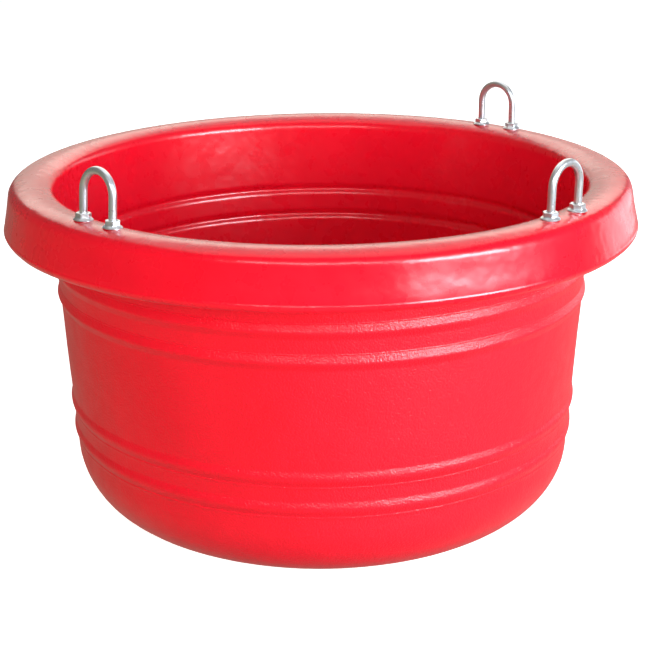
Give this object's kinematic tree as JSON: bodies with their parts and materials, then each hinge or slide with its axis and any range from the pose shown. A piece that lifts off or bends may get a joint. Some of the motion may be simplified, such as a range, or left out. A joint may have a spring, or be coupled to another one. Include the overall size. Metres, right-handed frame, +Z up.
{
  "type": "open feed tub with hanging u-bolts",
  "caption": "Round open-topped moulded plastic feed tub with a rolled rim, raised bands on its wall, and bolt-on steel hanging loops standing on the rim.",
  "frame": {"origin": "centre of the flat base, on the surface the tub stands on", "axes": "+Z up along the tub's axis; -Y is the front, midway between the two front hanging loops; +X is to the right seen from the front"},
  "size_m": [0.5406, 0.5406, 0.3377],
  "materials": {
    "tub_plastic": "rotationally moulded polyethylene, fine pebble, satin",
    "zinc_rod": "bright zinc plate on drawn rod",
    "zinc_nut": "bright zinc plate on forged nut"
  },
  "bodies": {
    "root": {"tub_shell": "tub_plastic", "left_u_bolt": "zinc_rod", "left_upper_nut_a": "zinc_nut", "left_upper_nut_b": "zinc_nut", "left_lower_nut_a": "zinc_nut", "left_lower_nut_b": "zinc_nut", "right_u_bolt": "zinc_rod", "right_upper_nut_a": "zinc_nut", "right_upper_nut_b": "zinc_nut", "right_lower_nut_a": "zinc_nut", "right_lower_nut_b": "zinc_nut", "rear_u_bolt": "zinc_rod", "rear_upper_nut_a": "zinc_nut", "rear_upper_nut_b": "zinc_nut", "rear_lower_nut_a": "zinc_nut", "rear_lower_nut_b": "zinc_nut"}
  },
  "joints": []
}
